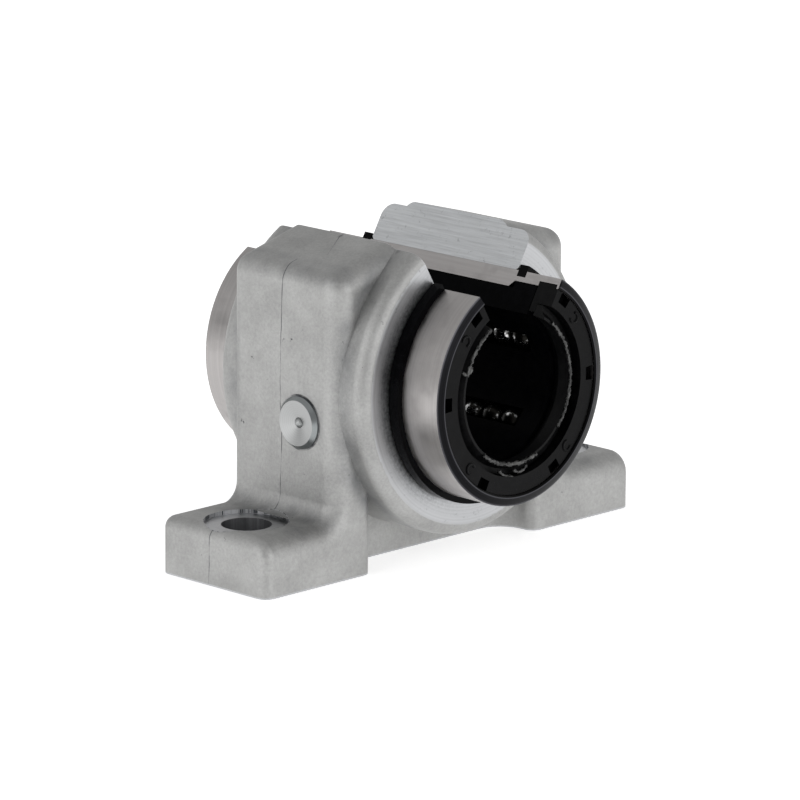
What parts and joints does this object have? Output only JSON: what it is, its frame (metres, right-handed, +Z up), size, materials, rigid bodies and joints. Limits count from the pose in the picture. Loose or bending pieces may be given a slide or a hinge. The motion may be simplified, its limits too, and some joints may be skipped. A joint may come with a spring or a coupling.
{
  "type": "linear bearing block",
  "caption": "Open linear ball bearing in a cast two-foot housing, slotted along the top for a supported shaft.",
  "frame": {"origin": "middle of the machined base, on the ground", "axes": "+X from foot to foot, +Y along the shaft, +Z up from the base to the slot"},
  "size_m": [0.0716, 0.045, 0.0444],
  "materials": {
    "cast_aluminium": "satin as-cast, machined faces",
    "zinc_plated_steel": "turned, zinc plated",
    "ball_steel": "polished",
    "sleeve_steel": "ground satin",
    "black_plastic": "moulded, slightly glossy",
    "black_spring_steel": "black oxide",
    "black_rubber": "matte"
  },
  "bodies": {
    "root": {"housing": "cast_aluminium", "lubrication_nipple": "zinc_plated_steel", "nipple_ball": "ball_steel", "outer_sleeve": "sleeve_steel", "ball_cage": "black_plastic", "front_end_ring": "black_plastic", "rear_end_ring": "black_plastic", "front_wiper_seal": "black_rubber", "rear_wiper_seal": "black_rubber", "front_retaining_ring": "black_spring_steel", "rear_retaining_ring": "black_spring_steel", "ball_row_1": "ball_steel", "ball_row_2": "ball_steel", "ball_row_3": "ball_steel", "ball_row_4": "ball_steel", "ball_row_5": "ball_steel"}
  },
  "joints": []
}
